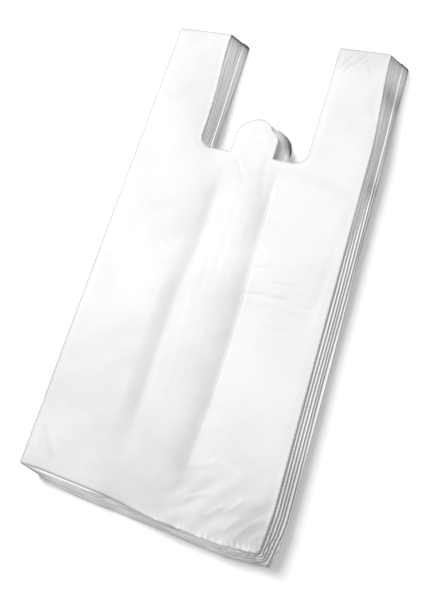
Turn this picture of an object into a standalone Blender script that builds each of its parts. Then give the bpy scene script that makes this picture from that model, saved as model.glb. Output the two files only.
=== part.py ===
"""Pad of vest-style plastic carrier bags, lying flat.

The pad is a block of thin film bags. Each bag is a gusseted tube of film, die-cut into two
handles with a throat between them and a half-round hanging tab in the middle of the throat.
The block is modelled as the folded bundles that show along its sides. Every bundle is one
closed solid: four plies thick over the side gussets, two plies thick in the channel between
them, and it has slipped a little from the bundle below, so the sides of the pad lean.

Frame: +X across the bags, +Y from the sealed bottom edge to the handle ends, +Z up.
The origin is under the middle of the whole pad.
"""

import math

import bmesh
import bpy

# Driving dimensions, in metres
BAG_WIDTH = 0.260            # flat width of one bag
PAD_LENGTH = 0.551           # lowest bottom edge to topmost handle end
BUNDLE_COUNT = 6             # folded bundles that show along the side
SIDE_THICKNESS = 0.0020      # one bundle over the gussets
CHANNEL_THICKNESS = 0.0013   # one bundle between the gussets
BUNDLE_GAP = 0.0003          # air between neighbouring bundles

SLIP_ACROSS = 0.0155         # the top bundle lies this far to the left of the lowest
SLIP_AT_BOTTOM = 0.0120      # the lowest bottom edge reaches this far past the top one
SLIP_AT_HANDLES = 0.0045     # the top handle ends reach this far past the lowest ones

GUSSET_DEPTH = 0.091         # how far each side is folded in
CHANNEL_RAMP = 0.010         # width of the slope from a gusset down to the channel

THROAT_LEFT = -0.0570        # inner edge of the left handle, from the bag's middle
THROAT_RIGHT = 0.0660        # inner edge of the right handle
THROAT_DEPTH = 0.150         # handle ends down to the bottom of the throat
THROAT_CORNER = 0.014        # radius where a handle meets the bottom of the throat
HANDLE_TAPER = 0.0065        # each handle of the top bundle narrows by this at its end
TAPER_LENGTH = 0.120         # length of handle over which it narrows

TAB_CENTRE = 0.0055          # middle of the hanging tab, from the bag's middle
TAB_WIDTH = 0.050
TAB_HEIGHT = 0.0455          # bottom of the throat up to the top of the tab
BOTTOM_CORNER = 0.009        # radius of the bottom corners
HANDLE_CORNER = 0.003        # radius of the handles' outer corners

RAMP_STEPS = 8               # section points across each slope of the channel
FOLD_STEPS = 8               # section points round a folded edge
ARC_STEPS = 8                # outline points round a quarter circle
TAB_STEPS = 20               # outline points round the tab's half circle
TAPER_STEPS = 5              # outline points down a handle's narrowing edge
CUTTER_MARGIN = 0.010        # how far a cutter stands clear of what it cuts

FILM_COLOUR = (0.88, 0.90, 0.91, 1.0)
FILM_ROUGHNESS = 0.32


def clear_scene():
    """Remove every object that the file opens with."""
    for obj in list(bpy.data.objects):
        bpy.data.objects.remove(obj, do_unlink=True)


def make_collection(name):
    """Add a collection to the scene."""
    collection = bpy.data.collections.new(name)
    bpy.context.scene.collection.children.link(collection)
    return collection


def level_of(index):
    """Height of a bundle in the pad: 0 for the lowest, 1 for the top."""
    return index / (BUNDLE_COUNT - 1)


def slip_across(level):
    """How far a bundle's middle lies from the pad's middle."""
    return SLIP_ACROSS * (0.5 - level)


def handle_end(level):
    """Y of a bundle's handle ends."""
    return PAD_LENGTH / 2 - SLIP_AT_HANDLES * (1 - level)


def bottom_end(level):
    """Y of a bundle's sealed bottom edge."""
    return -PAD_LENGTH / 2 + SLIP_AT_BOTTOM * level


def smooth(t):
    """Ease from 0 to 1 with flat ends."""
    t = min(max(t, 0.0), 1.0)
    return t * t * (3 - 2 * t)


def ply_thickness(index, x):
    """Thickness of one bundle at x: full over the gussets, less in the channel."""
    from_middle = abs(x - slip_across(level_of(index)))
    channel_half = BAG_WIDTH / 2 - GUSSET_DEPTH
    rise = smooth((from_middle - channel_half) / CHANNEL_RAMP)
    return CHANNEL_THICKNESS + (SIDE_THICKNESS - CHANNEL_THICKNESS) * rise


def underside(index, x):
    """Z of a bundle's lower face at x: it lies on the bundles below."""
    return sum(ply_thickness(below, x) + BUNDLE_GAP for below in range(index))


def arc(centre, radius, start, end, steps):
    """Points along an arc, from start to end in degrees, both ends included."""
    points = []
    for step in range(steps + 1):
        angle = math.radians(start + (end - start) * step / steps)
        points.append((centre[0] + radius * math.cos(angle), centre[1] + radius * math.sin(angle)))
    return points


def section_stations(index):
    """X of the points along a bundle's section, closer together on the channel's slopes."""
    middle = slip_across(level_of(index))
    channel_half = BAG_WIDTH / 2 - GUSSET_DEPTH
    spread = SLIP_ACROSS + CHANNEL_RAMP
    stations = []
    for side in (-1, 1):
        inner = side * channel_half
        low = inner - SLIP_ACROSS / 2 - (CHANNEL_RAMP if side < 0 else 0.0)
        stations += [low + spread * step / RAMP_STEPS for step in range(RAMP_STEPS + 1)]
    fold = SIDE_THICKNESS / 2
    ends = (middle - BAG_WIDTH / 2 + fold, middle + BAG_WIDTH / 2 - fold)
    return [ends[0]] + stations + [ends[1]]


def bundle_section(index):
    """Closed section of a bundle in X and Z: two faces joined by round folds."""
    stations = section_stations(index)
    fold = SIDE_THICKNESS / 2
    left = (stations[0], underside(index, stations[0]) + fold)
    right = (stations[-1], underside(index, stations[-1]) + fold)
    lower = [(x, underside(index, x)) for x in stations[1:-1]]
    upper = [(x, underside(index, x) + ply_thickness(index, x)) for x in reversed(stations[1:-1])]
    right_fold = arc(right, fold, -90, 90, FOLD_STEPS)
    left_fold = arc(left, fold, 90, 270, FOLD_STEPS)
    return lower + right_fold + upper + left_fold


def tab_outline(base_y):
    """Half-round tab on straight sides, from its left foot to its right foot."""
    half = TAB_WIDTH / 2
    shoulder = base_y + TAB_HEIGHT - half
    points = [(TAB_CENTRE - half, base_y)]
    points += arc((TAB_CENTRE, shoulder), half, 180, 0, TAB_STEPS)
    points.append((TAB_CENTRE + half, base_y))
    return points


def tapered_edge(base_x, end_x, end_y):
    """Handle edge that leans from base_x to end_x as it nears the handle's end."""
    points = []
    for step in range(TAPER_STEPS + 1):
        t = step / TAPER_STEPS
        points.append((base_x + (end_x - base_x) * smooth(t), end_y - TAPER_LENGTH * (1 - t)))
    return points


def bag_outline(level):
    """Flat outline of a bundle, anticlockwise from its bottom left corner."""
    half = BAG_WIDTH / 2
    top = handle_end(level)
    bottom = bottom_end(level)
    throat = top - THROAT_DEPTH
    taper = HANDLE_TAPER * level
    corner = BOTTOM_CORNER
    nip = HANDLE_CORNER
    round_throat = THROAT_CORNER

    points = arc((-half + corner, bottom + corner), corner, 180, 270, ARC_STEPS)
    points += arc((half - corner, bottom + corner), corner, 270, 360, ARC_STEPS)
    points += tapered_edge(half, half - taper, top - nip)
    points += arc((half - taper - nip, top - nip), nip, 0, 90, ARC_STEPS // 2)
    points += [(THROAT_RIGHT, top)]
    points += arc((THROAT_RIGHT - round_throat, throat + round_throat), round_throat, 0, -90, ARC_STEPS)
    points += reversed(tab_outline(throat))
    points += arc((THROAT_LEFT + round_throat, throat + round_throat), round_throat, -90, -180, ARC_STEPS)
    points += tapered_edge(THROAT_LEFT, THROAT_LEFT - taper, top)
    points += arc((-half + nip, top - nip), nip, 90, 180, ARC_STEPS // 2)
    middle = slip_across(level)
    return [(x + middle, y) for x, y in points]


def extruded_curve(name, points, depth, collection):
    """Closed flat outline as a 2D curve, extruded by half the depth each way."""
    curve = bpy.data.curves.new(name, "CURVE")
    curve.dimensions = "2D"
    curve.fill_mode = "BOTH"
    curve.extrude = depth / 2
    spline = curve.splines.new("POLY")
    spline.points.add(len(points) - 1)
    for point, (x, y) in zip(spline.points, points):
        point.co = (x, y, 0.0, 1.0)
    spline.use_cyclic_u = True
    obj = bpy.data.objects.new(name, curve)
    collection.objects.link(obj)
    return obj


def as_mesh(curve_obj, collection):
    """Replace an extruded curve by a mesh object with its caps welded on."""
    bpy.context.view_layer.update()
    name = curve_obj.name
    evaluated = curve_obj.evaluated_get(bpy.context.evaluated_depsgraph_get())
    mesh = bpy.data.meshes.new_from_object(evaluated)
    weld = bmesh.new()
    weld.from_mesh(mesh)
    bmesh.ops.remove_doubles(weld, verts=weld.verts, dist=0.000001)
    bmesh.ops.recalc_face_normals(weld, faces=weld.faces)
    weld.to_mesh(mesh)
    weld.free()
    place = curve_obj.matrix_world.copy()
    bpy.data.objects.remove(curve_obj, do_unlink=True)
    obj = bpy.data.objects.new(name, mesh)
    obj.matrix_world = place
    collection.objects.link(obj)
    return obj


def outline_cutter(index, collection):
    """Upright prism of a bundle's outline, used to trim its slab."""
    pad_height = BUNDLE_COUNT * (SIDE_THICKNESS + BUNDLE_GAP)
    depth = pad_height + 2 * CUTTER_MARGIN
    curve_obj = extruded_curve(f"outline_{index + 1}", bag_outline(level_of(index)), depth, collection)
    curve_obj.location.z = pad_height / 2
    cutter = as_mesh(curve_obj, collection)
    cutter.hide_render = True
    cutter.display_type = "WIRE"
    return cutter


def film_material(index):
    """White high-density polyethylene film, faintly translucent and softly glossy."""
    material = bpy.data.materials.new(f"polyethylene_film_{index + 1}")
    material.use_nodes = True
    shader = material.node_tree.nodes["Principled BSDF"]
    shader.inputs["Base Color"].default_value = FILM_COLOUR
    shader.inputs["Roughness"].default_value = FILM_ROUGHNESS
    shader.inputs["Metallic"].default_value = 0.0
    return material


def bag_bundle(index, parts, cutters):
    """One folded bundle: its section run along the pad, trimmed to the bag's outline."""
    length = PAD_LENGTH + 2 * CUTTER_MARGIN
    slab = extruded_curve(f"bag_bundle_{index + 1}", bundle_section(index), length, parts)
    slab.rotation_euler.x = math.radians(90)
    bundle = as_mesh(slab, parts)
    trim = bundle.modifiers.new("trim_to_outline", "BOOLEAN")
    trim.operation = "INTERSECT"
    trim.solver = "EXACT"
    trim.object = outline_cutter(index, cutters)
    bundle.data.materials.append(film_material(index))
    return bundle


def build_pad():
    """Lay the bundles on each other, lowest first."""
    clear_scene()
    parts = make_collection("carrier_bag_pad")
    cutters = make_collection("cutters")
    for index in range(BUNDLE_COUNT):
        bag_bundle(index, parts, cutters)


build_pad()
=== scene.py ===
"""Pad of vest-style plastic carrier bags, lying flat on a pale floor.

The pad is six folded bundles of thin film bags, each slipped a little from the bundle below,
with one loose bag on top. Every bundle is a closed solid whose side walls carry the folded or
die-cut edges of its leaves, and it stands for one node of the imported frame.
"""

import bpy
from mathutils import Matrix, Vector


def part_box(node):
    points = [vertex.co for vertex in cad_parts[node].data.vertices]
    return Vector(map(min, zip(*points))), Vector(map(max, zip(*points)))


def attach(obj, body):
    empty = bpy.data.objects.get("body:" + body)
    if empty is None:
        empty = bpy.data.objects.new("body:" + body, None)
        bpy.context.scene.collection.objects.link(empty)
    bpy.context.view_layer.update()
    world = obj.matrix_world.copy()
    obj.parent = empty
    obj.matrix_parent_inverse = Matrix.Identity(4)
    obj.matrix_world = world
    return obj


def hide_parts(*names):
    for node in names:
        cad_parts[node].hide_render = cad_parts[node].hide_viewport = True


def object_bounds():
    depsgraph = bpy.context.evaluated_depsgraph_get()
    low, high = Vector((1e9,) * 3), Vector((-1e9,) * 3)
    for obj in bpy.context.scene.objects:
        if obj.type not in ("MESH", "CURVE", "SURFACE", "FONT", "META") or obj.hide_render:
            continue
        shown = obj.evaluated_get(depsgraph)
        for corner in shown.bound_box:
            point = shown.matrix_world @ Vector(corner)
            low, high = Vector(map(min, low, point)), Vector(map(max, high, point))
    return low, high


bl_info = {
    "name": "Carrier Bag Pad",
    "version": (1, 0, 0),
    "blender": (4, 5, 0),
    "location": "3D View > Sidebar > Carrier Bags",
    "description": "Builds a pad of plastic carrier bags around its packed frame",
    "category": "Add Mesh",
}

import math

import bpy
import numpy as np
from mathutils import Matrix, Vector
from mathutils.geometry import delaunay_2d_cdt

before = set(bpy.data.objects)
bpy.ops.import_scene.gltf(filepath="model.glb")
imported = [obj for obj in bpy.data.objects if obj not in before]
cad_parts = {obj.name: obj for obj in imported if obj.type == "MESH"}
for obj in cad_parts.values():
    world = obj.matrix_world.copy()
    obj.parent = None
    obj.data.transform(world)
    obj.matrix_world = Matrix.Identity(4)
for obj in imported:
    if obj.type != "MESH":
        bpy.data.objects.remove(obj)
CAD_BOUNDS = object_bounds()

MM = 0.001
BUNDLES = sorted(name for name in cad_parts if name.startswith("bag_bundle_"))
LOW_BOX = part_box(BUNDLES[0])
TOP_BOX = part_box(BUNDLES[-1])
LAST = len(BUNDLES) - 1


# ---------------------------------------------------------------- sizes and colours


class BagPadSizes(bpy.types.PropertyGroup):
    """Sizes of one bag and of the pad that a user would change."""

    bag_width: bpy.props.FloatProperty(
        name="Bag width",
        description="Flat width of one bag",
        default=TOP_BOX[1][0] - TOP_BOX[0][0],
        subtype="DISTANCE",
        unit="LENGTH",
    )
    side_thickness: bpy.props.FloatProperty(
        name="Bundle at the sides",
        description="Thickness of one bundle over the side gussets",
        default=LOW_BOX[1][2] - LOW_BOX[0][2],
        subtype="DISTANCE",
        unit="LENGTH",
    )
    channel_thickness: bpy.props.FloatProperty(
        name="Bundle in the channel",
        description="Thickness of one bundle between the side gussets",
        default=0.0013,
        subtype="DISTANCE",
        unit="LENGTH",
    )
    gusset_depth: bpy.props.FloatProperty(
        name="Gusset depth",
        description="How far each side of a bag is folded in",
        default=0.091,
        subtype="DISTANCE",
        unit="LENGTH",
    )
    throat_depth: bpy.props.FloatProperty(
        name="Throat depth",
        description="Handle ends down to the bottom of the throat",
        default=0.150,
        subtype="DISTANCE",
        unit="LENGTH",
    )
    tab_width: bpy.props.FloatProperty(
        name="Tab width",
        description="Width of the half-round hanging tab",
        default=0.050,
        subtype="DISTANCE",
        unit="LENGTH",
    )
    crumple: bpy.props.FloatProperty(
        name="Crumple",
        description="Height of the wrinkles in the top bag, 1 for the usual",
        default=1.0,
        min=0.0,
        max=2.0,
    )


class BagPadColours(bpy.types.PropertyGroup):
    """Colours of the film, its edges and the floor."""

    film: bpy.props.StringProperty(
        name="Film",
        description="White film with many leaves behind it, as an sRGB hex value",
        default="E4E6E5",
    )
    # Painted shade: the film's colour where shade is painted on the top bag.
    painted_shade: bpy.props.StringProperty(
        name="Film over a hollow",
        description="The same film with nothing close behind it, as an sRGB hex value",
        default="B4B6B5",
    )
    edge: bpy.props.StringProperty(
        name="Leaf edges",
        description="Edges of the stacked leaves, as an sRGB hex value",
        default="EEEFEF",
    )
    # Painted shade on the leaf edges, mixed in towards this dark grey.
    painted_edge_shade: bpy.props.StringProperty(
        name="Fused edges",
        description="Leaf edges melted together by the sealing knife, as an sRGB hex value",
        default="3E4244",
    )
    floor: bpy.props.StringProperty(
        name="Floor",
        description="Matt white card under the pad, as an sRGB hex value",
        default="FBFBFB",
    )


def sizes():
    """The pad's sizes as they stand in the panel."""
    return bpy.context.scene.bag_pad_sizes


def colours():
    """The pad's colours as they stand in the panel."""
    return bpy.context.scene.bag_pad_colours


# ---------------------------------------------------------------- small helpers


def smooth(t):
    """Ease from 0 to 1 with flat ends."""
    t = np.clip(t, 0.0, 1.0)
    return t * t * (3 - 2 * t)


def ramp(value, start, end):
    """0 before start, 1 past end and a straight slope between; start may be the higher one."""
    return np.clip((value - start) / (end - start), 0.0, 1.0)


def ease(value, start, end):
    """As ramp, with flat ends."""
    return smooth(ramp(value, start, end))


def bell(distance, width):
    """Bell curve, 1 at no distance."""
    return np.exp(-((distance / width) ** 2))


def window(value, start, end, fade):
    """1 between start and end, easing to 0 over fade on either side."""
    return ease(value, start - fade, start) * ease(value, end + fade, end)


def between(low, high, level):
    """Value at a level of the pad, 0 for the lowest bundle and 1 for the top one."""
    return low + (high - low) * level


def slip_across(level):
    """X of a bag's middle line."""
    low = (LOW_BOX[0][0] + LOW_BOX[1][0]) / 2
    top = (TOP_BOX[0][0] + TOP_BOX[1][0]) / 2
    return between(low, top, level)


def bottom_end(level):
    """Y of a bag's sealed bottom edge."""
    return between(LOW_BOX[0][1], TOP_BOX[0][1], level)


def handle_end(level):
    """Y of a bag's handle ends."""
    return between(LOW_BOX[1][1], TOP_BOX[1][1], level)


def waves(x, y, length, heading, spread, seed, count=14):
    """Sum of plane waves near one wavelength and heading (degrees), about -1 to 1."""
    rng = np.random.default_rng(seed)
    total = np.zeros_like(x)
    for _ in range(count):
        angle = math.radians(heading + rng.uniform(-spread, spread))
        pitch = length * rng.uniform(0.7, 1.5)
        along = x * math.cos(angle) + y * math.sin(angle)
        total += np.sin(2 * math.pi * along / pitch + rng.uniform(0, 2 * math.pi))
    return total / math.sqrt(count)


# ---------------------------------------------------------------- outline of a bag

# Lengths are in metres, here and below. Across and up are places on a bag, measured from the
# middle of its bottom edge, before the bag is slipped to its place in the pad.
THROAT_LEFT = -0.0570
THROAT_RIGHT = 0.0660
THROAT_CORNER = 0.014
HANDLE_TAPER = 0.0065
TAPER_LENGTH = 0.120
TAB_CENTRE = 0.0055
TAB_HEIGHT = 0.0455
BOTTOM_CORNER = 0.0025
HANDLE_CORNER = 0.003
OUTLINE_STEP = 0.0016
ARC_DENSITY = 1.3
SHOULDER_FLAT = 0.20

# The long sides are nearly straight, so they take only the points of this length.
LONG_SIDE_STEPS = 0.330

# How far the bottom edge curves up at its ends and the right edge tucks in, low and top bag.
LEFT_RISE_LOW = 0.0062
LEFT_RISE_TOP = 0.0012
LEFT_RISE_LOOSE = 0.0019
RIGHT_RISE = 0.0065
TUCK_LOW = 0.0075
TUCK_TOP = 0.0036


def run_line(a, b, length):
    """Points from a up to, not including, b, as many as a nominal length needs."""
    count = max(2, round(length / OUTLINE_STEP))
    t = np.arange(count)[:, None] / count
    return np.array(a) + (np.array(b) - np.array(a)) * t


def run_arc(centre, radius, start, end):
    """Points along an arc, start to end in degrees, without the last one."""
    length = radius * math.radians(abs(end - start))
    count = max(4, round(length / OUTLINE_STEP * ARC_DENSITY))
    angle = np.radians(start + (end - start) * np.arange(count) / count)
    return np.stack([centre[0] + radius * np.cos(angle), centre[1] + radius * np.sin(angle)], 1)


def run_taper(base_x, end_x, end_y):
    """Points up a handle's edge that leans from base_x to end_x as it nears the handle's end."""
    count = round(TAPER_LENGTH / OUTLINE_STEP)
    t = np.arange(count) / count
    return np.stack([base_x + (end_x - base_x) * smooth(t), end_y - TAPER_LENGTH * (1 - t)], 1)


def run_tab(half, base_y, flat):
    """Hanging tab from its right foot to its left foot, its right shoulder flatter."""
    shoulder = base_y + TAB_HEIGHT - half
    count = round(math.pi * half / OUTLINE_STEP)
    angle = np.arange(count) / count * 180
    radius = half * (1 - flat * bell(angle - 42, 24))
    spin = np.radians(angle)
    straight = TAB_HEIGHT - half
    side = run_line((TAB_CENTRE + half, base_y), (TAB_CENTRE + half, shoulder), straight)
    dome = np.stack([TAB_CENTRE + radius * np.cos(spin), shoulder + radius * np.sin(spin)], 1)
    drop = run_line((TAB_CENTRE - half, shoulder), (TAB_CENTRE - half, base_y), straight)
    return np.concatenate([side, dome, drop])


def bottom_bow(across, level, lifted):
    """How far a bag's bottom edge curves up from its straight line."""
    free = lifted * ease(across, -0.135, -0.105)
    left_top = (LEFT_RISE_TOP + LEFT_RISE_LOOSE * free) * ease(across, 0.025, -0.035)
    left_low = LEFT_RISE_LOW * ramp(across, -0.075, -0.130) ** 2
    right = RIGHT_RISE * ramp(across, 0.070, 0.130) ** 2
    return between(left_low, left_top, level) + right


def bow_in(points, level, lifted):
    """Curve the lower end of an outline: its bottom edge up and its right edge in."""
    up = points[:, 1] - bottom_end(level)
    tuck = between(TUCK_LOW, TUCK_TOP, level) * ramp(up, 0.050, 0.0) ** 1.5
    points[:, 1] += bottom_bow(points[:, 0], level, lifted) * ease(up, 0.060, 0.0)
    points[:, 0] -= tuck * ease(points[:, 0], 0.08, 0.11)


def bag_outline(level, lifted=0):
    """Flat outline of a bag, anticlockwise from its bottom left corner, and its runs' names.

    Lifted is 1 for the loose bag, whose bottom edge stops short of the leaves below it. The
    number of points doesn't depend on the level, so outlines can be joined point to point.
    """
    half = sizes().bag_width / 2
    depth = sizes().throat_depth
    tab_half = sizes().tab_width / 2
    top = handle_end(level)
    bottom = bottom_end(level)
    throat = top - depth
    taper = HANDLE_TAPER * level
    corner = BOTTOM_CORNER
    nip = HANDLE_CORNER
    bend = THROAT_CORNER
    neck = top - nip
    edge = LONG_SIDE_STEPS
    handle = half + THROAT_LEFT
    right_foot = TAB_CENTRE + tab_half
    left_foot = TAB_CENTRE - tab_half
    inner = THROAT_LEFT + bend
    runs = [
        ("bottom", run_arc((-half + corner, bottom + corner), corner, 225, 270)),
        ("bottom", run_line((-half + corner, bottom), (half - corner, bottom), half * 2)),
        ("bottom", run_arc((half - corner, bottom + corner), corner, 270, 315)),
        ("right", run_arc((half - corner, bottom + corner), corner, 315, 360)),
        ("right", run_line((half, bottom + corner), (half, neck - TAPER_LENGTH), edge)),
        ("right", run_taper(half, half - taper, neck)),
        ("end", run_arc((half - taper - nip, neck), nip, 0, 90)),
        ("end", run_line((half - taper - nip, top), (THROAT_RIGHT, top), handle)),
        ("cut", run_line((THROAT_RIGHT, top), (THROAT_RIGHT, throat + bend), depth)),
        ("cut", run_arc((THROAT_RIGHT - bend, throat + bend), bend, 0, -90)),
        ("cut", run_line((THROAT_RIGHT - bend, throat), (right_foot, throat), bend)),
        ("tab", run_tab(tab_half, throat, SHOULDER_FLAT * level**4)),
        ("cut", run_line((left_foot, throat), (inner, throat), bend)),
        ("cut", run_arc((inner, throat + bend), bend, -90, -180)),
        ("cut", run_line((THROAT_LEFT, throat + bend), (THROAT_LEFT, top - TAPER_LENGTH), bend)),
        ("cut", run_taper(THROAT_LEFT, THROAT_LEFT - taper, top)),
        ("end", run_line((THROAT_LEFT - taper, top), (-half + nip, top), handle)),
        ("end", run_arc((-half + nip, top - nip), nip, 90, 180)),
        ("left", run_line((-half, top - nip), (-half, bottom + corner), edge + TAPER_LENGTH)),
        ("left", run_arc((-half + corner, bottom + corner), corner, 180, 225)),
    ]
    points = np.concatenate([run for _, run in runs])
    bow_in(points, level, lifted)
    names = np.concatenate([[name] * len(run) for name, run in runs])
    points[:, 0] += slip_across(level)
    return points, names


def outward(points):
    """Unit vectors that point out of a closed outline, softened over a few points."""
    along = np.roll(points, -2, 0) - np.roll(points, 2, 0)
    normal = np.stack([along[:, 1], -along[:, 0]], 1)
    return normal / np.linalg.norm(normal, axis=1)[:, None]


def soft_mask(mask, steps):
    """Mask along a closed outline with its ends eased over some points."""
    kernel = np.hanning(2 * steps + 3)[1:-1]
    kernel /= kernel.sum()
    padded = np.concatenate([mask[-steps:], mask, mask[:steps]]).astype(float)
    return np.convolve(padded, kernel, "valid")


# ---------------------------------------------------------------- levels of the pad

CHANNEL_RAMP = 0.010
BUNDLE_GAP = 0.0003
LOOSE_ROOM = 0.0006


def ply_thickness(index, x):
    """Thickness of one bundle at x: full over the gussets, less in the channel."""
    plan = sizes()
    channel_half = plan.bag_width / 2 - plan.gusset_depth
    from_middle = np.abs(x - slip_across(index / LAST))
    rise = smooth((from_middle - channel_half) / CHANNEL_RAMP)
    return between(plan.channel_thickness, plan.side_thickness, rise)


def underside(index, x):
    """Z of a bundle's lower face at x: it lies on the bundles below."""
    return sum((ply_thickness(below, x) + BUNDLE_GAP for below in range(index)), np.zeros_like(x))


def body_thickness(index, x):
    """Thickness of a bundle's solid: the top one leaves room for the loose bag on it."""
    return ply_thickness(index, x) - (LOOSE_ROOM if index == LAST else 0.0)


# ---------------------------------------------------------------- meshes

# Rows of an even triangle grid stand this many spacings apart.
ROW_RATIO = 0.866

# Outline points compared with a grid at a time, to save memory.
BATCH = 64

# The triangulation keeps only the triangles inside the outline.
FILL_INSIDE = 1
MERGE_DISTANCE = 1e-9


def inner_points(points, spacing, margin):
    """Grid of points inside an outline and clear of it by margin, every other row shifted."""
    low = points.min(0)
    high = points.max(0)
    rows = np.arange(low[1] + spacing / 2, high[1], spacing * ROW_RATIO)
    grid = []
    for number, y in enumerate(rows):
        start = low[0] + spacing * (0.25 if number % 2 else 0.75)
        xs = np.arange(start, high[0], spacing)
        grid.append(np.stack([xs, np.full_like(xs, y)], 1))
    grid = np.concatenate(grid)
    away, _ = nearest(grid, points)
    return grid[inside(grid, points) & (away > margin)]


def inside(grid, points):
    """Which grid points lie inside a closed outline, by crossings of a level ray."""
    hit = np.zeros(len(grid), bool)
    ahead = np.roll(points, -1, 0)
    for a, b in zip(points, ahead):
        crosses = (a[1] > grid[:, 1]) != (b[1] > grid[:, 1])
        if a[1] != b[1]:
            at = a[0] + (grid[:, 1] - a[1]) / (b[1] - a[1]) * (b[0] - a[0])
            hit ^= crosses & (grid[:, 0] < at)
    return hit


def nearest(grid, points):
    """Distance from each grid point to an outline's nearest point, and that point's index."""
    best = np.full(len(grid), np.inf)
    index = np.zeros(len(grid), int)
    for start in range(0, len(points), BATCH):
        part = points[start : start + BATCH]
        gap = ((grid[:, None, :] - part[None, :, :]) ** 2).sum(2)
        near = gap.min(1)
        closer = near < best
        index[closer] = start + gap.argmin(1)[closer]
        best[closer] = near[closer]
    return np.sqrt(best), index


def fill_outline(points, grid):
    """Triangles that fill an outline, using its own points first and then the grid's."""
    flat = [Vector(p) for p in np.concatenate([points, grid])]
    ring = list(range(len(points)))
    verts, _, faces, _, _, _ = delaunay_2d_cdt(flat, [], [ring], FILL_INSIDE, MERGE_DISTANCE)
    if len(verts) != len(flat):
        raise RuntimeError("the outline crosses itself")
    return np.array(faces)


def collection_of(name):
    """Collection of this name in the scene, made when first asked for."""
    if name not in bpy.data.collections:
        bpy.context.scene.collection.children.link(bpy.data.collections.new(name))
    return bpy.data.collections[name]


def make_mesh(name, verts, faces, values, home="pad"):
    """Smooth-shaded object from vertices, faces and named values on its vertices."""
    mesh = bpy.data.meshes.new(name)
    mesh.from_pydata(verts.tolist(), [], faces)
    for key, data in values.items():
        layer = mesh.attributes.new(key, "FLOAT", "POINT")
        layer.data.foreach_set("value", np.ascontiguousarray(data, dtype=np.float32))
    mesh.shade_smooth()
    obj = bpy.data.objects.new(name, mesh)
    collection_of(home).objects.link(obj)
    return obj


def mark_walls(piece, strength):
    """Give the side wall's faces (the first ones) their strength, and shade the caps flat."""
    mesh = piece.data
    wall = np.zeros(len(mesh.polygons), np.float32)
    wall[: len(strength)] = strength
    mesh.polygons.foreach_set("use_smooth", np.arange(len(wall)) < len(strength))
    layer = mesh.attributes.new("wall", "FLOAT", "FACE")
    layer.data.foreach_set("value", wall)


def wall_faces(count, first, second):
    """Quads between two rings of a wall, the first one the lower."""
    a = np.arange(count)
    b = np.roll(a, -1)
    return np.stack([first + a, first + b, second + b, second + a], 1).tolist()


# ---------------------------------------------------------------- bundles

RINGS = 13
CAP_SPACING = 0.006

# The cut edge beside the tab: its reach either side of the tab's middle, and its heights.
THROAT_GAP_REACH = 0.034
THROAT_GAP = (0.390, 0.410)

# Strength of the leaf edges' hairlines, which carries painted light and shade: less beside the tab,
# as painted light in its shaded gap; more on the open folds, as painted shade between their ledges;
# and less again on the folds near the bottom corner.
GAP_PAINTED_LIGHT = 0.9
FOLD_PAINTED_SHADE = 0.80
CORNER_PALE = 1.2

# Shape of the side walls: folds tucked in, leaves drifting in and out, and finer unevenness.
UNDERCUT = 0.0013
NOSE_CURVE = 0.0002
DRIFT = 0.00035
DRIFT_ON_CUTS = 0.3
LEAF_GRAIN = 0.00004
SEAL_GRAIN = 0.00012
END_GRAIN = 0.00015
PROUD_BUNDLES = 2
PROUD = 0.0009
CORNER_CRUMPLE = 0.0005

# Height up the bag below which each bundle's sides are a step, lowest bundle first.
STEP_STARTS = (0.345, 0.420, 0.385, 0.355, 0.340, 0.335)
STEP_FADE = 0.080

# Dark patches on the right wall: strength, place and reach below the handle end, highest level.
SIDE_PATCHES = ((0.36, 0.048, 0.014, 1.0), (0.24, 0.155, 0.012, 0.7))

# How dark the painted shade makes the other parts of an edge.
END_PAINTED_SHADE = 0.75
END_SHADE = 0.35
TAB_PAINTED_SHADE = 1.3
CORNER_PAINTED_SHADE = 0.22
FLOOR_SHADE = 0.50
TIP_SHADE = 0.45


def stepped(points, names, index):
    """How far each outline point's wall is a step, not an even lean: 1 on the open folds."""
    up = points[:, 1] - bottom_end(index / LAST)
    folds = soft_mask((names == "right") | (names == "left"), 6)
    return folds * ease(up, STEP_STARTS[index], STEP_STARTS[index] - STEP_FADE)


def fold_profile(t):
    """Offset of a folded edge at height t: tucked in below, a blunt nose, a small top curve."""
    return -UNDERCUT * ramp(t, 0.45, 0.0) ** 2 - NOSE_CURVE * ramp(t, 0.85, 1.0) ** 2


def bundle_rings(index, rng):
    """Rings of a bundle's side wall from its lower edge up, their runs' names and strength."""
    level = index / LAST
    base, names = bag_outline(level)
    step = stepped(base, names, index)
    along = np.linspace(0, 2 * math.pi, len(base), endpoint=False)
    sealed = soft_mask(names == "bottom", 5)
    ends = soft_mask(names == "end", 3)
    proud = (index < PROUD_BUNDLES) * (1 - step) * (1 - sealed) * PROUD
    drift = DRIFT * wander(along, rng, 14) * between(DRIFT_ON_CUTS, 1.0, step)
    rings = []
    for ring in range(RINGS):
        t = ring / (RINGS - 1)
        lean, _ = bag_outline((index + t) / len(BUNDLES))
        flat = lean + (base - lean) * step[:, None]
        offset = fold_profile(t) * step + proud + drift
        offset = offset + LEAF_GRAIN * (rng.normal() + wander(along, rng))
        offset = offset + SEAL_GRAIN * sealed * wander(along, rng, 60)
        offset = offset - END_GRAIN * ends * abs(rng.normal())
        if index == 0:
            offset = offset - UNDERCUT * ramp(t, 0.5, 0.0) ** 2
        offset = offset + crumpled_corner(flat, index, ring)
        flat = flat + outward(flat) * offset[:, None]
        z = underside(index, flat[:, 0]) + t * body_thickness(index, flat[:, 0])
        z -= (index > 0) * BUNDLE_GAP * (1 - step) * (1 - t)
        rings.append(np.column_stack([flat, z]))
    return rings, names, hairlines_with_painted_light(base, step, level)


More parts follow.
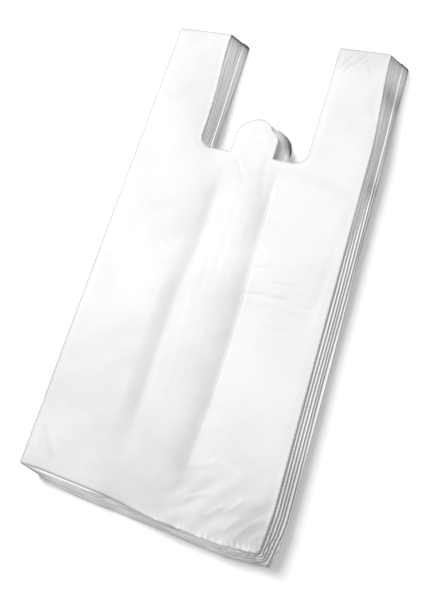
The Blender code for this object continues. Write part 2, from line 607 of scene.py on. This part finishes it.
def hairlines_with_painted_light(points, step, level):
    """How dark a wall's leaf edges are: hairlines, darkened as painted shade on the open folds and
    lightened as painted light in the tab's shaded gap.
    """
    up = points[:, 1] - bottom_end(level)
    across = np.abs(points[:, 0] - slip_across(level) - TAB_CENTRE)
    in_gap = ease(across, THROAT_GAP_REACH, THROAT_GAP_REACH - 0.006)
    in_gap = in_gap * window(up, *THROAT_GAP, 0.010)
    return 1 - GAP_PAINTED_LIGHT * in_gap + step * (FOLD_PAINTED_SHADE - CORNER_PALE * ease(up, 0.120, 0.060))


def crumpled_corner(flat, index, ring):
    """In and out of a bundle's crumpled wall near its bottom right corner."""
    across = flat[:, 0] - slip_across(index / LAST)
    up = flat[:, 1] - bottom_end(index / LAST)
    near = ease(across, 0.070, 0.115) * ease(up, 0.050, 0.010)
    seed = 300 + 10 * index + ring // 4
    return CORNER_CRUMPLE * near * waves(flat[:, 0], flat[:, 1], 0.009, 30, 60, seed)


def wander(along, rng, top=12, count=10):
    """Closed smooth noise round an outline, about -1 to 1."""
    total = np.zeros_like(along)
    for _ in range(count):
        turns = rng.integers(2, top)
        total += np.sin(turns * along + rng.uniform(0, 2 * math.pi))
    return total / math.sqrt(count)


def painted_end_shade(across, down, names, level):
    """Painted shade along the handle ends, and over the tab's top of the lower bundles."""
    ends = END_PAINTED_SHADE * bell(down, 0.0035) + END_SHADE * bell(down, 0.013)
    tab = (names == "tab") * ease(across, TAB_CENTRE, TAB_CENTRE + 0.008)
    tab = tab * ease(sizes().throat_depth - down, 0.012, 0.028)
    return ends + TAB_PAINTED_SHADE * tab * (1 - level) ** 2


def side_patches(down, names, level):
    """Darker patches on the right wall's handle."""
    patches = [
        strength * bell(down - place, reach)
        for strength, place, reach, top in SIDE_PATCHES
        if level <= top
    ]
    return (names == "right") * sum(patches)


def painted_edge_shade_amount(verts, names, index):
    """How dark an edge is: painted shade at the handle ends, the tab's top, the bottom right
    corner, close to the floor and at the bottom's left tip, and darker patches on the right handle.
    """
    level = index / LAST
    across = verts[:, 0] - slip_across(level)
    up = verts[:, 1] - bottom_end(level)
    down = handle_end(level) - verts[:, 1]
    amount = painted_end_shade(across, down, names, level) + side_patches(down, names, level)
    # Painted shade near the bottom right corner.
    amount = amount + CORNER_PAINTED_SHADE * ease(up, 0.130, 0.070) * ease(across, 0.095, 0.115)
    amount = amount + FLOOR_SHADE * bell(verts[:, 2] - LOW_BOX[0][2], 0.0011) * (names != "in")
    amount = amount + TIP_SHADE * (names == "bottom") * ease(across, -0.098, -0.123)
    return np.clip(amount, 0, 1)


def make_cap(ring, index, lift):
    """Inner points of a bundle's lower (lift 0) or upper (lift 1) face, and its triangles."""
    grid = inner_points(ring[:, :2], CAP_SPACING, CAP_SPACING * 0.6)
    z = underside(index, grid[:, 0]) + lift * body_thickness(index, grid[:, 0])
    return np.column_stack([grid, z]), fill_outline(ring[:, :2], grid)


def placed(faces, count, ring_at, inner_at):
    """Cap triangles with their ring's points and inner points at their places in the mesh."""
    return np.where(faces < count, faces + ring_at, faces - count + inner_at)


def make_bundle(index):
    """One bundle as a closed solid with its leaf edges in its side wall."""
    rings, names, strength = bundle_rings(index, np.random.default_rng(100 + index))
    count = len(names)
    low_inner, low_faces = make_cap(rings[0], index, 0)
    top_inner, top_faces = make_cap(rings[-1], index, 1)
    low_at = RINGS * count
    top_at = low_at + len(low_inner)
    faces = []
    for ring in range(RINGS - 1):
        faces += wall_faces(count, ring * count, (ring + 1) * count)
    faces += placed(low_faces, count, 0, low_at)[:, ::-1].tolist()
    faces += placed(top_faces, count, (RINGS - 1) * count, top_at).tolist()
    verts = np.concatenate([*rings, low_inner, top_inner])
    inner = np.full(len(low_inner) + len(top_inner), "in")
    # Painted shade on the edges, kept as a value on each vertex.
    painted_edge_shade = painted_edge_shade_amount(verts, np.concatenate([np.tile(names, RINGS), inner]), index)
    piece = make_mesh("bundle_%d" % (index + 1), verts, faces, {"painted_edge_shade": painted_edge_shade})
    mark_walls(piece, np.tile(strength, RINGS - 1))
    return piece


# ---------------------------------------------------------------- top bag

FILM_SPACING = 0.0017
UNDER_SPACING = 0.003

# Thickness of the loose bag at its middle and edge, its loft, and its sag over the channel.
FILM_THICKNESS = 0.00055
EDGE_THICKNESS = 0.0004
PUFF = 0.0004
RIM_DROP = 0.00015
SAG = 0.0018
LEFT_SHARE = 0.62
LOWER_SAG = 1.25

# Heights of the wrinkles, how creases wander, and how much painted shade the grooves and painted
# highlight the ridges get.
BROAD_WAVES = 0.00025
SMALL_WAVES = 0.00007
CHANNEL_STREAKS = 0.00004
CORNER_WAVES = 0.00045
LOW_WAVES = 0.00008
PUCKER = 0.0003
CREASE_BEND = 0.0008
CREASE_SWING = 0.006
CREASE_PAINTED_SHADE = 300.0
PUCKER_PAINTED_SHADE = 0.35

# Creases: start and end (across and up from the middle of the bag's bottom edge), height and
# half width, all in millimetres. A height below 0 is a groove.

# Cross folds over the right gusset, and its soft hollow along the side fold.
GUSSET_CREASES = (
    ((46, 236), (82, 240), -0.38, 1.6),
    ((80, 240), (110, 236), -0.22, 1.5),
    ((50, 231), (106, 231), 0.28, 3.5),
    ((42, 285), (52, 281), -0.40, 1.5),
    ((73, 253), (94, 256), -0.25, 1.5),
    ((47, 264), (66, 268), -0.15, 1.6),
    ((62, 205), (96, 208), -0.12, 2.0),
    ((54, 376), (118, 367), -0.35, 8.0),
    ((60, 388), (112, 384), 0.25, 6.0),
    ((123, 335), (115, 235), -0.25, 5.0),
)

# Slanting ridges in the bottom right corner under a curved one, and dents at the left.
CORNER_CREASES = (
    ((42, 57), (62, 67), 0.25, 3.0),
    ((66, 69), (92, 66), 0.25, 3.0),
    ((48, 27), (65, 40), 0.42, 1.9),
    ((88, 31), (99, 44), 0.42, 1.9),
    ((90, 15), (102, 28), 0.42, 1.9),
    ((103, 16), (120, 34), 0.42, 1.9),
    ((116, 15), (125, 23), 0.42, 1.9),
    ((72, 22), (84, 33), 0.42, 1.9),
    ((-114, 40), (-96, 18), -0.35, 2.6),
    ((-104, 38), (-91, 20), 0.25, 3.0),
    ((-120, 26), (-110, 13), 0.20, 2.4),
)

# Creases at the right handle's end, soft dents in both handles, folds at the tab's foot.
HANDLE_CREASES = (
    ((79, 509), (96, 532), -0.35, 1.8),
    ((71, 510), (83, 528), -0.25, 1.7),
    ((86, 535), (112, 531), -0.30, 1.8),
    ((100, 526), (108, 512), -0.25, 2.5),
    ((118, 490), (121, 462), -0.35, 6.0),
    ((-107, 447), (-68, 472), -0.25, 8.0),
    ((-112, 505), (-84, 520), 0.20, 6.0),
    ((-12, 402), (16, 410), 0.20, 3.0),
    ((-8, 378), (6, 359), -0.22, 1.9),
    ((22, 392), (28, 350), -0.22, 4.0),
)

# Painted shade of the film, added up: 0 for none, 1 for the darkest. It stands in for the shade in
# the hollows under the film and on its slopes, and for light falling off towards the bottom; the
# tones taken off are painted light.
LEFT_BAND_TONE = 0.34
RIGHT_BAND_TONE = 0.40
STEP_TONE = 0.35
GUSSET_TONE = 0.20
GUSSET_TOP_TONE = 0.06
GUSSET_MIDDLE_TONE = 0.20
GUSSET_LOW_TONE = 0.14
CHANNEL_TONE = 0.08
CHANNEL_LOW_TONE = 0.12
NECK_TONE = 0.09
LOWER_PAINTED_SHADE = 0.45
CORNER_TONE = 0.34
PALE_PATCH_TONE = 0.18
HANDLE_TONE = 0.30
FREE_BOTTOM_TONE = 0.6
LOW_RIM_TONE = 0.6
BACKED_RIM_TONE = 0.32


def film_drape(across, up):
    """Height of the top bag over the plateaus, without its wrinkles, from their level."""
    opening = ease(up, 0.385, 0.325) * ease(up, 0.030, 0.065)
    from_left = across - left_band(up)
    from_right = across - right_band(up)
    fall = LEFT_SHARE * ease(from_left, -0.016, 0.007)
    slope = (1 - LEFT_SHARE) * ease(from_right, -0.028, -0.001)
    rise = ease(from_right, 0.0, 0.005)
    return SAG * (rise - fall - slope) * opening


def left_band(up):
    """Where the channel's left band is darkest, from the bag's middle line."""
    return between(-0.0305, -0.0245, ease(up, 0.20, 0.29))


def right_band(up):
    """Where the channel's right band ends in a sharp step up, from the bag's middle line."""
    return 0.0385 + 0.0035 * bell(up - 0.19, 0.08) - 0.0025 * ease(up, 0.12, 0.06)


def crease(across, up, start, end, height, width):
    """Slightly wavy ridge or groove that dies out at both ends."""
    ax = np.array(start) * MM
    line = np.array(end) * MM - ax
    length = np.linalg.norm(line)
    unit = line / length
    dx = across - ax[0]
    dy = up - ax[1]
    along = dx * unit[0] + dy * unit[1]
    off = dy * unit[0] - dx * unit[1] + CREASE_BEND * np.sin(along / CREASE_SWING + start[0])
    fade = window(along, 0.0, length, length * 0.25)
    return height * MM * bell(off, width * MM) * fade


def film_creases(across, up):
    """All the single creases of the top bag."""
    creases = GUSSET_CREASES + CORNER_CREASES + HANDLE_CREASES
    return sizes().crumple * sum(crease(across, up, *one) for one in creases)


def seal_crinkle(across, up, away):
    """Small puckers along the sealed bottom edge's right half, about -1 to 1."""
    seal = bell(away - 0.003, 0.002) * ease(up, 0.016, 0.010) * ease(across, 0.02, 0.07)
    return seal * waves(across, up, 0.006, 0, 30, 21)


def film_wrinkles(across, up):
    """Soft random wrinkles of the top bag."""
    z = BROAD_WAVES * waves(across, up, 0.140, 60, 90, 11)
    z += SMALL_WAVES * waves(across, up, 0.045, 80, 60, 12)
    channel = ease(up, 0.36, 0.31) * ease(up, 0.08, 0.13) * bell(across - 0.003, 0.030)
    z += CHANNEL_STREAKS * channel * waves(across, 0.15 * up, 0.012, 0, 25, 15)
    low = ease(up, 0.085, 0.010)
    corner = low * ease(across, 0.005, 0.055)
    z += CORNER_WAVES * corner * (1 + waves(across, up, 0.020, 130, 25, 13))
    z += LOW_WAVES * low * (1 + waves(across, up, 0.017, 15, 60, 14))
    return z * sizes().crumple


def upper_face(points, grid):
    """Vertices of the top bag's upper face, and the painted shade on each."""
    face = np.concatenate([points, grid])
    across = face[:, 0] - slip_across(1.0)
    up = face[:, 1] - bottom_end(1.0)
    away, edge_at = nearest(face, points)
    creases = film_creases(across, up)
    puckers = seal_crinkle(across, up, away)
    z = TOP_BOX[1][2] + film_drape(across, up) + film_wrinkles(across, up)
    z += creases + PUCKER * puckers + PUFF * ease(away, 0.0, 0.010)
    z -= RIM_DROP * ease(away, 0.0012, 0.0)
    # Painted shade on the film, with some painted highlight, kept as a value on each vertex.
    painted_shade = film_painted_shade(across, up) + film_painted_rim(points, up, away, edge_at)
    # Painted shade in grooves and puckers, painted highlight on ridges.
    painted_shade -= CREASE_PAINTED_SHADE * creases + PUCKER_PAINTED_SHADE * np.clip(puckers, -0.5, 1)
    return np.column_stack([face, z]), painted_shade


def lower_face(points, grid, edge_z):
    """Vertices of the top bag's lower face, which sags more and stays under the upper one."""
    face = np.concatenate([points, grid])
    drape = film_drape(face[:, 0] - slip_across(1.0), face[:, 1] - bottom_end(1.0))
    z = TOP_BOX[1][2] - FILM_THICKNESS + LOWER_SAG * drape
    z[: len(points)] = np.minimum(z[: len(points)], edge_z - EDGE_THICKNESS)
    return np.column_stack([face, z])


def make_top_bag():
    """The loose bag on top: a thin closed shell, its upper face finely meshed."""
    points, _ = bag_outline(1.0, 1)
    fine = inner_points(points, FILM_SPACING, FILM_SPACING * 0.62)
    coarse = inner_points(points, UNDER_SPACING, UNDER_SPACING * 0.6)
    top_verts, painted_shade = upper_face(points, fine)
    low_verts = lower_face(points, coarse, top_verts[: len(points), 2])
    faces = fill_outline(points, fine).tolist()
    faces += (fill_outline(points, coarse)[:, ::-1] + len(top_verts)).tolist()
    faces += wall_faces(len(points), len(top_verts), 0)
    painted_shade = np.concatenate([painted_shade, np.zeros(len(low_verts))])
    verts = np.concatenate([top_verts, low_verts])
    return make_mesh("top_bag", verts, faces, {"painted_shade": np.clip(painted_shade, 0, 1)})


def film_painted_rim(points, up, away, edge_at):
    """Painted shade along the top bag's edges that face left and up and along the left of its
    bottom edge, where it stands free of the leaves below, more low down; painted highlight along
    its edges that lie on them.
    """
    normal = outward(points)
    facing = normal @ np.array((-0.8, 0.6))
    bottom = ease(normal[:, 1], -0.5, -1.0) * ease(points[:, 0], 0.010, -0.020)
    free = soft_mask(ease(facing, 0.1, 0.5), 3) + FREE_BOTTOM_TONE * bottom
    backed = soft_mask(ease(facing, -0.1, -0.4333), 3) * (1 - bottom)
    low = 1 + LOW_RIM_TONE * ease(up, 0.33, 0.23)
    dark = free[edge_at] * low * ease(away, 0.0028, 0.0004)
    return dark - BACKED_RIM_TONE * backed[edge_at] * bell(away, 0.0045)


def film_painted_shade(across, up):
    """Painted shade on the film: the channel's two bands over the gusset folds and the broad
    painted tones.
    """
    opening = ease(up, 0.385, 0.325) * ease(up, 0.030, 0.060)
    at_left = across - left_band(up)
    at_right = across - right_band(up)
    left = np.where(at_left < 0, bell(at_left, 0.012), bell(at_left, 0.005))
    left = left * ease(up, 0.045, 0.100)
    right = np.where(at_right > 0, bell(at_right, 0.0040), bell(at_right, 0.013))
    step = bell(at_right - 0.0025, 0.0022)
    bands = LEFT_BAND_TONE * left + RIGHT_BAND_TONE * right + STEP_TONE * step
    broad = left_painted_shade(across, up) + channel_painted_shade(across, up) + low_painted_shade(across, up)
    return opening * bands + broad


def left_painted_shade(across, up):
    """Painted shade over the left gusset: even, and more at the handle, at mid height and towards
    the bottom.
    """
    tone = GUSSET_TONE + GUSSET_TOP_TONE * ease(up, 0.40, 0.45)
    tone += GUSSET_LOW_TONE * ease(up, 0.235, 0.125) + GUSSET_MIDDLE_TONE * bell(up - 0.33, 0.12)
    return tone * ease(across, -0.030, -0.045)


def channel_painted_shade(across, up):
    """Painted shade over the channel, more towards the bottom, and over the neck of the throat."""
    side = ease(across, -0.045, -0.030) * ease(across, 0.046, 0.040)
    tone = CHANNEL_TONE + CHANNEL_LOW_TONE * ease(up, 0.29, 0.19)
    tone += NECK_TONE * bell(up - 0.37, 0.025)
    return side * tone * ease(up, 0.05, 0.11)


def low_painted_shade(across, up):
    """Painted shade over the lower part, most in its bottom right corner and less at a pale patch,
    and over the right handle's end.
    """
    tone = LOWER_PAINTED_SHADE * ease(up, 0.115, 0.020)
    tone += CORNER_TONE * bell(np.hypot(across - 0.118, up - 0.022), 0.022)
    tone -= PALE_PATCH_TONE * bell(np.hypot(across - 0.050, up - 0.020), 0.020)
    handle = HANDLE_TONE * ease(up, 0.504, 0.532) * ease(across, 0.05, 0.06)
    return tone * ease(across, -0.045, -0.030) + handle


# ---------------------------------------------------------------- materials

HDPE_IOR = 1.54
CLOUD_SIZE = 0.060
CLOUD_TONE = 0.12
CRINKLE_SIZE = 0.009
HAIR_LENGTH = 0.060
HAIR_SPACING = 0.0009
HAIR_DARKNESS = 0.35


def linear(hex_value):
    """Linear colour with alpha from an sRGB hex value."""
    channels = [int(hex_value[i : i + 2], 16) / 255 for i in (0, 2, 4)]
    flat = [c / 12.92 if c <= 0.04045 else ((c + 0.055) / 1.055) ** 2.4 for c in channels]
    return (*flat, 1.0)


def add_node(material, kind, settings=None, inputs=None):
    """Add a node with its settings, and its inputs as values or as links from other sockets."""
    node = material.node_tree.nodes.new(kind)
    for key, value in (settings or {}).items():
        setattr(node, key, value)
    for key, value in (inputs or {}).items():
        if isinstance(value, bpy.types.NodeSocket):
            material.node_tree.links.new(value, node.inputs[key])
        else:
            node.inputs[key].default_value = value
    return node


def new_material(name):
    """Empty node material and its output."""
    material = bpy.data.materials.new(name)
    material.use_nodes = True
    material.node_tree.nodes.clear()
    output = add_node(material, "ShaderNodeOutputMaterial")
    return material, output


def blown_film_material():
    """Blown HDPE film: milky white, softly glossy and faintly crinkled.

    To the eye it is a white skin with a broad dull highlight, cloudy because the blown film's
    thickness varies. Painted shade, laid on by place on the bag, greys it in the channel's bands,
    creases, lower parts and some edges, with a little painted highlight on ridges and along edges
    that lie on the leaves.
    """
    material, output = new_material("blown HDPE film")
    place = add_node(material, "ShaderNodeTexCoord").outputs["Object"]
    # Painted shade laid on the film by place on the bag.
    painted_shade = add_node(material, "ShaderNodeAttribute", {"attribute_name": "painted_shade"})
    cloud = add_node(
        material,
        "ShaderNodeTexNoise",
        {"noise_dimensions": "3D"},
        {"Vector": place, "Scale": 1 / CLOUD_SIZE, "Detail": 3.0, "Roughness": 0.5},
    )
    shade = add_node(
        material,
        "ShaderNodeMapRange",
        None,
        {
            "Value": cloud.outputs["Fac"],
            "From Min": 0.3,
            "From Max": 0.7,
            "To Min": -CLOUD_TONE,
            "To Max": CLOUD_TONE,
        },
    )
    amount = add_node(
        material,
        "ShaderNodeMath",
        {"operation": "ADD", "use_clamp": True},
        {0: painted_shade.outputs["Fac"], 1: shade.outputs["Result"]},
    )
    colour = add_node(
        material,
        "ShaderNodeMix",
        {"data_type": "RGBA"},
        {
            "Factor": amount.outputs["Value"],
            6: linear(colours().film),
            7: linear(colours().painted_shade),
        },
    )
    crinkle = add_node(
        material,
        "ShaderNodeTexNoise",
        {"noise_dimensions": "3D"},
        {"Vector": place, "Scale": 1 / CRINKLE_SIZE, "Detail": 4.0, "Roughness": 0.55},
    )
    bump = add_node(
        material,
        "ShaderNodeBump",
        None,
        {"Strength": 0.25, "Distance": 0.0006, "Height": crinkle.outputs["Fac"]},
    )
    shader = add_node(
        material,
        "ShaderNodeBsdfPrincipled",
        None,
        {
            "Base Color": colour.outputs[2],
            "Roughness": 0.50,
            "IOR": HDPE_IOR,
            "Normal": bump.outputs["Normal"],
        },
    )
    material.node_tree.links.new(shader.outputs["BSDF"], output.inputs["Surface"])
    return material


def leaf_edge_material():
    """Edges of stacked HDPE leaves, folded or die-cut.

    To the eye they are grey and white lengthwise hairlines. Painted shade darkens them at the
    handle ends, the tab's top, close to the floor and at the bottom corners, with darker patches on
    the right handle, and the hairlines' strength holds painted shade on the open folds and painted
    light beside the tab. A leaf is about 0.015 mm thick, too fine to show, so the hairs are drawn
    0.1 to
    0.9 mm apart.
    """
    material, output = new_material("die-cut HDPE leaf edges")
    place = add_node(material, "ShaderNodeTexCoord").outputs["Object"]
    drawn = add_node(
        material,
        "ShaderNodeMapping",
        {"vector_type": "POINT"},
        {"Vector": place, "Scale": (1 / HAIR_LENGTH, 1 / HAIR_LENGTH, 1 / HAIR_SPACING)},
    )
    hairs = add_node(
        material,
        "ShaderNodeTexNoise",
        {"noise_dimensions": "3D"},
        {"Vector": drawn.outputs["Vector"], "Scale": 1.0, "Detail": 3.0, "Roughness": 0.6},
    )
    light = linear(colours().edge)
    dark = tuple(c * HAIR_DARKNESS for c in light[:3]) + (1.0,)
    grain = add_node(
        material,
        "ShaderNodeMapRange",
        None,
        {
            "Value": hairs.outputs["Fac"],
            "From Min": 0.35,
            "From Max": 0.65,
            "To Min": 0.50,
            "To Max": 0.10,
        },
    )
    # The hairlines' strength, with painted shade on the open folds and painted light beside the
    # tab.
    wall = add_node(material, "ShaderNodeAttribute", {"attribute_name": "wall"})
    strength = add_node(
        material,
        "ShaderNodeMath",
        {"operation": "MULTIPLY"},
        {0: grain.outputs["Result"], 1: wall.outputs["Fac"]},
    )
    grained = add_node(
        material,
        "ShaderNodeMix",
        {"data_type": "RGBA"},
        {"Factor": strength.outputs["Value"], 6: light, 7: dark},
    )
    # Painted shade on the edges, mixed towards a dark grey.
    painted_edge_shade = add_node(material, "ShaderNodeAttribute", {"attribute_name": "painted_edge_shade"})
    colour = add_node(
        material,
        "ShaderNodeMix",
        {"data_type": "RGBA"},
        {"Factor": painted_edge_shade.outputs["Fac"], 6: grained.outputs[2], 7: linear(colours().painted_edge_shade)},
    )
    shader = add_node(
        material,
        "ShaderNodeBsdfPrincipled",
        None,
        {"Base Color": colour.outputs[2], "Roughness": 0.42, "IOR": HDPE_IOR},
    )
    material.node_tree.links.new(shader.outputs["BSDF"], output.inputs["Surface"])
    return material


def card_material():
    """Matt white card, uncoated: an even pale ground with no highlight."""
    material, output = new_material("matt white card")
    shader = add_node(
        material,
        "ShaderNodeBsdfPrincipled",
        None,
        {
            "Base Color": linear(colours().floor),
            "Roughness": 0.9,
            "IOR": 1.45,
            "Specular IOR Level": 0.1,
        },
    )
    material.node_tree.links.new(shader.outputs["BSDF"], output.inputs["Surface"])
    return material


# ---------------------------------------------------------------- stage

CAMERA_PLACE = (0.11816, -0.12271, 0.4613)
CAMERA_AZIMUTH = 53.87
CAMERA_ELEVATION = 73.20
CAMERA_ROLL = -37.42
CAMERA_LENS = 26.98
SENSOR_WIDTH = 36.0
FLOOR_REACH = 3.0
SURROUND = 0.42

# Soft boxes: name, place and side length in metres, power in watts, collection that it lights.
# The pad and the floor are lit apart, so that the floor stays white while the pad keeps its
# shading.
SOFT_BOXES = (
    ("pad soft box", (-1.78, 0.89, 2.37), 1.00, 101.0, "pad"),
    ("floor soft box", (-3.20, 1.65, 1.60), 1.10, 335.0, "ground"),
    ("floor fill", (2.20, -1.50, 3.00), 1.50, 24.0, "ground"),
)


def make_camera():
    """Wide camera above the right side of the pad, turned so that the pad leans right."""
    data = bpy.data.cameras.new("camera")
    data.lens = CAMERA_LENS
    data.sensor_width = SENSOR_WIDTH
    data.clip_start = 0.01
    data.dof.use_dof = False
    camera = bpy.data.objects.new("camera", data)
    bpy.context.scene.collection.objects.link(camera)
    turn = Matrix.Rotation(math.radians(CAMERA_AZIMUTH), 4, "Z")
    tilt = Matrix.Rotation(math.radians(90 - CAMERA_ELEVATION), 4, "X")
    roll = Matrix.Rotation(math.radians(CAMERA_ROLL), 4, "Z")
    camera.matrix_world = Matrix.Translation(CAMERA_PLACE) @ turn @ tilt @ roll
    bpy.context.scene.camera = camera


def make_floor():
    """Wide card floor that the pad lies on."""
    z = CAD_BOUNDS[0][2]
    corners = np.array([(x, y, z) for x, y in ((-1, -1), (1, -1), (1, 1), (-1, 1))])
    corners[:, :2] *= FLOOR_REACH
    floor = make_mesh("floor", corners, [(0, 1, 2, 3)], {}, "ground")
    floor.data.materials.append(card_material())


def make_light(name, place, size, power, lit):
    """Square soft box at place, aimed at the origin, that lights one collection."""
    data = bpy.data.lights.new(name, "AREA")
    data.shape = "SQUARE"
    data.size = size
    data.energy = power
    light = bpy.data.objects.new(name, data)
    bpy.context.scene.collection.objects.link(light)
    light.rotation_euler = Vector(place).to_track_quat("Z", "Y").to_euler()
    light.location = place
    light.light_linking.receiver_collection = collection_of(lit)


def make_world():
    """Even white studio surround."""
    world = bpy.data.worlds.new("studio")
    world.use_nodes = True
    background = world.node_tree.nodes["Background"]
    background.inputs["Color"].default_value = (1.0, 1.0, 1.0, 1.0)
    background.inputs["Strength"].default_value = SURROUND
    bpy.context.scene.world = world


# ---------------------------------------------------------------- operators and panel


class BAGPAD_OT_stage(bpy.types.Operator):
    """Make the camera, the floor and the lights"""

    bl_idname = "bag_pad.stage"
    bl_label = "Stage"

    def execute(self, context):
        context.scene.view_settings.view_transform = "Standard"
        make_camera()
        make_floor()
        for soft_box in SOFT_BOXES:
            make_light(*soft_box)
        make_world()
        return {"FINISHED"}


class BAGPAD_OT_bundles(bpy.types.Operator):
    """Make the six folded bundles, lowest first"""

    bl_idname = "bag_pad.bundles"
    bl_label = "Bundles"

    def execute(self, context):
        material = leaf_edge_material()
        for index, node in enumerate(BUNDLES):
            piece = make_bundle(index)
            piece.data.materials.append(material)
            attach(piece, "root")
            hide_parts(node)
        return {"FINISHED"}


class BAGPAD_OT_top_bag(bpy.types.Operator):
    """Make the loose bag on top of the pad"""

    bl_idname = "bag_pad.top_bag"
    bl_label = "Top bag"

    def execute(self, context):
        piece = make_top_bag()
        piece.data.materials.append(blown_film_material())
        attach(piece, "root")
        return {"FINISHED"}


class BAGPAD_PT_panel(bpy.types.Panel):
    """Sizes, colours and steps of the bag pad"""

    bl_idname = "BAGPAD_PT_panel"
    bl_label = "Carrier Bag Pad"
    bl_space_type = "VIEW_3D"
    bl_region_type = "UI"
    bl_category = "Carrier Bags"

    def draw(self, context):
        layout = self.layout
        for group in (context.scene.bag_pad_sizes, context.scene.bag_pad_colours):
            for key in group.bl_rna.properties.keys():
                if key not in ("rna_type", "name"):
                    layout.prop(group, key)
        for operator in STEPS:
            layout.operator(operator.bl_idname)


STEPS = (BAGPAD_OT_stage, BAGPAD_OT_bundles, BAGPAD_OT_top_bag)
CLASSES = (BagPadSizes, BagPadColours, *STEPS, BAGPAD_PT_panel)


def register():
    """Register the classes and hang the sizes and colours on the scene."""
    for cls in CLASSES:
        bpy.utils.register_class(cls)
    bpy.types.Scene.bag_pad_sizes = bpy.props.PointerProperty(type=BagPadSizes)
    bpy.types.Scene.bag_pad_colours = bpy.props.PointerProperty(type=BagPadColours)


def unregister():
    """Take the sizes, colours and classes away again."""
    del bpy.types.Scene.bag_pad_colours
    del bpy.types.Scene.bag_pad_sizes
    for cls in reversed(CLASSES):
        bpy.utils.unregister_class(cls)


def main():
    """Register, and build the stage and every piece."""
    register()
    bpy.ops.bag_pad.stage()
    bpy.ops.bag_pad.bundles()
    bpy.ops.bag_pad.top_bag()


if __name__ == "__main__":
    main()
